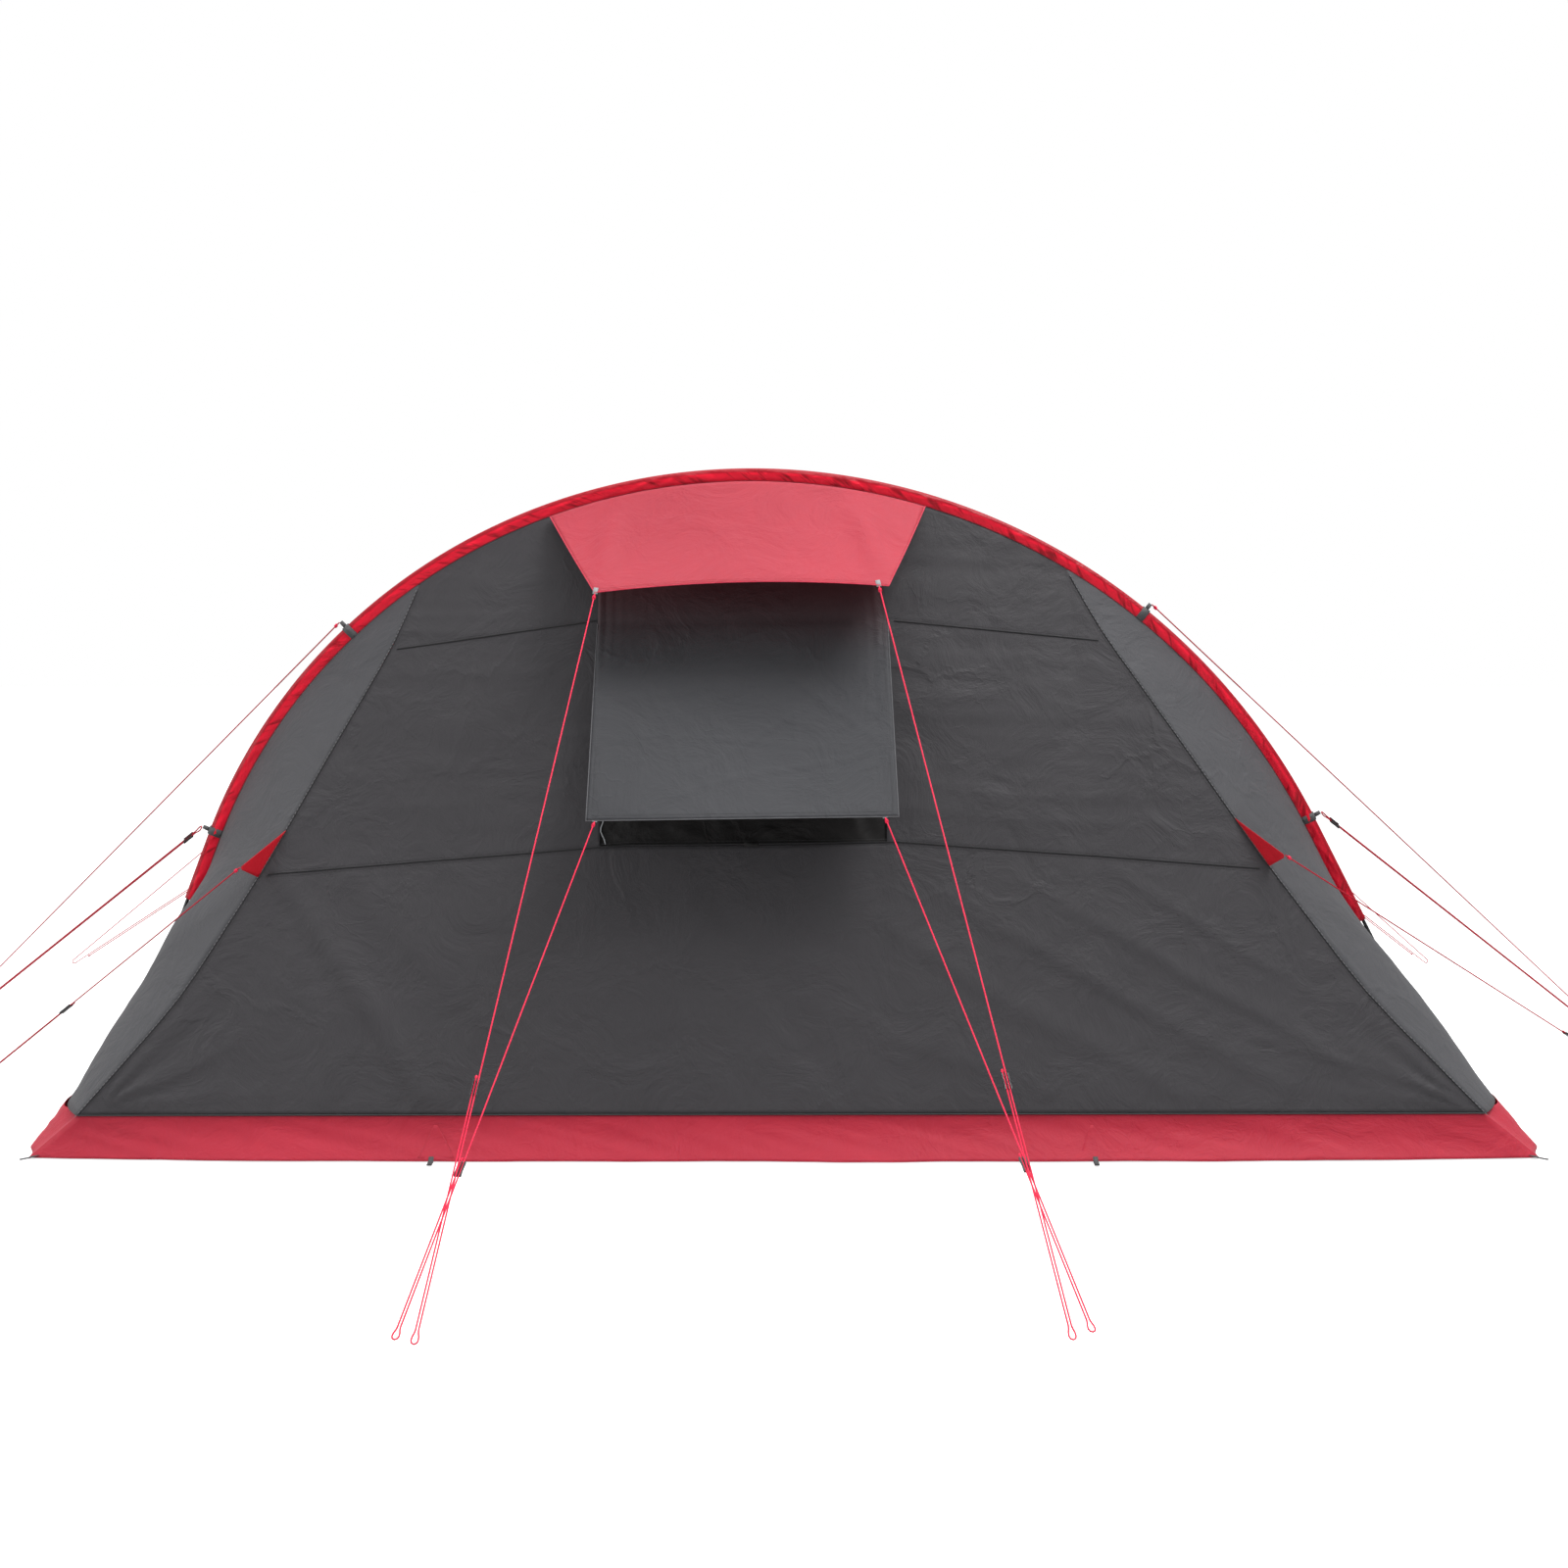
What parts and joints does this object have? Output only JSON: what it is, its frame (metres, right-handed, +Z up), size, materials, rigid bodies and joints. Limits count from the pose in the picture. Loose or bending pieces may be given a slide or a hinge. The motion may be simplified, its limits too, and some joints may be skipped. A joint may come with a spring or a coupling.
{
  "type": "tunnel tent",
  "caption": "Pitched tunnel tent on arched poles in sleeves, with a window flap, vent hood, cabin, hinged door leaf and guylines with sliding runners.",
  "frame": {"origin": "centre of the groundsheet's underside, on the ground", "axes": "+Z up; -Y is the window end, +Y the door end; +X to the right seen from the window end"},
  "size_m": [6.2336, 5.6375, 2.014],
  "materials": {
    "guyline_cord": "braided cord",
    "runner_plastic": "moulded",
    "foot_plastic": "moulded",
    "pole_black": "satin",
    "crimson_cloth": "woven, coated",
    "webbing_black": "webbing",
    "grey_cloth": "woven, coated",
    "pale_grey_cloth": "woven, coated",
    "rose_cloth": "woven, coated",
    "black_mesh": "fine mesh",
    "cabin_cloth": "light woven",
    "groundsheet_cloth": "coated sheet",
    "zip_metal": "satin"
  },
  "bodies": {
    "tent": {"band_lower_left": "webbing_black", "band_lower_right": "webbing_black", "band_upper_left": "webbing_black", "band_upper_right": "webbing_black", "cabin": "cabin_cloth", "cabin_front": "cabin_cloth", "front_corner_left": "pale_grey_cloth", "front_corner_right": "pale_grey_cloth", "front_pole": "pole_black", "front_skirt": "crimson_cloth", "front_sleeve": "crimson_cloth", "front_wall": "grey_cloth", "groundsheet": "groundsheet_cloth", "guy_patch_left": "crimson_cloth", "guy_patch_right": "crimson_cloth", "guyline_flap_left": "guyline_cord", "guyline_flap_right": "guyline_cord", "guyline_front_left": "guyline_cord", "guyline_front_right": "guyline_cord", "guyline_hood_left": "guyline_cord", "guyline_hood_right": "guyline_cord", "guyline_patch_left": "guyline_cord", "guyline_patch_right": "guyline_cord", "guyline_rear_left": "guyline_cord", "guyline_rear_right": "guyline_cord", "left_side": "pale_grey_cloth", "left_skirt": "crimson_cloth", "middle_pole": "pole_black", "middle_sleeve": "crimson_cloth", "pole_foot_front_left": "foot_plastic", "pole_foot_front_right": "foot_plastic", "pole_foot_middle_left": "foot_plastic", "pole_foot_middle_right": "foot_plastic", "pole_foot_rear_left": "foot_plastic", "pole_foot_rear_right": "foot_plastic", "rear_corner_left": "pale_grey_cloth", "rear_corner_right": "pale_grey_cloth", "rear_pole": "pole_black", "rear_skirt": "crimson_cloth", "rear_sleeve": "crimson_cloth", "rear_wall": "grey_cloth", "right_side": "pale_grey_cloth", "right_skirt": "crimson_cloth", "roof": "rose_cloth", "vent_hood": "rose_cloth", "window_flap": "grey_cloth", "window_net": "black_mesh"},
    "door": {"door_leaf": "grey_cloth"},
    "zip_puller": {"door_zip_puller": "zip_metal"},
    "runner_flap_left": {"runner_flap_left": "runner_plastic"},
    "runner_flap_right": {"runner_flap_right": "runner_plastic"},
    "runner_front_left": {"runner_front_left": "runner_plastic"},
    "runner_front_right": {"runner_front_right": "runner_plastic"},
    "runner_hood_left": {"runner_hood_left": "runner_plastic"},
    "runner_hood_right": {"runner_hood_right": "runner_plastic"},
    "runner_patch_left": {"runner_patch_left": "runner_plastic"},
    "runner_patch_right": {"runner_patch_right": "runner_plastic"},
    "runner_rear_left": {"runner_rear_left": "runner_plastic"},
    "runner_rear_right": {"runner_rear_right": "runner_plastic"}
  },
  "joints": [
    {"name": "door_hinge", "type": "hinge", "parent": "tent", "child": "door", "pos_m": [-0.45293, 1.96172, 0.17889], "axis": [-0.0729, -0.2923, 0.9535], "range_deg": [0, 110]},
    {"name": "zip_slide", "type": "slide", "parent": "door", "child": "zip_puller", "axis": [-0.0722, -0.288, 0.9549], "range_m": [0, 1.39]},
    {"name": "slide_flap_left", "type": "slide", "parent": "tent", "child": "runner_flap_left", "axis": [-0.1492, -0.8536, -0.4992], "range_m": [0, 0.444]},
    {"name": "slide_flap_right", "type": "slide", "parent": "tent", "child": "runner_flap_right", "axis": [0.2005, -0.8364, -0.5102], "range_m": [0, 0.437]},
    {"name": "slide_front_left", "type": "slide", "parent": "tent", "child": "runner_front_left", "axis": [-0.839, -0.0048, -0.5441], "range_m": [0, 1.462]},
    {"name": "slide_front_right", "type": "slide", "parent": "tent", "child": "runner_front_right", "axis": [0.7922, 0.0031, -0.6103], "range_m": [0, 1.356]},
    {"name": "slide_hood_left", "type": "slide", "parent": "tent", "child": "runner_hood_left", "axis": [-0.0934, -0.7479, -0.6572], "range_m": [0, 0.602]},
    {"name": "slide_hood_right", "type": "slide", "parent": "tent", "child": "runner_hood_right", "axis": [0.1398, -0.7347, -0.6638], "range_m": [0, 0.609]},
    {"name": "slide_patch_left", "type": "slide", "parent": "tent", "child": "runner_patch_left", "axis": [-0.7668, 0.2431, -0.594], "range_m": [0, 0.516]},
    {"name": "slide_patch_right", "type": "slide", "parent": "tent", "child": "runner_patch_right", "axis": [0.8115, 0.3002, -0.5014], "range_m": [0, 0.39]},
    {"name": "slide_rear_left", "type": "slide", "parent": "tent", "child": "runner_rear_left", "axis": [-0.7231, 0.4585, -0.5166], "range_m": [0, 1.556]},
    {"name": "slide_rear_right", "type": "slide", "parent": "tent", "child": "runner_rear_right", "axis": [0.7108, 0.4946, -0.5001], "range_m": [0, 1.702]}
  ]
}
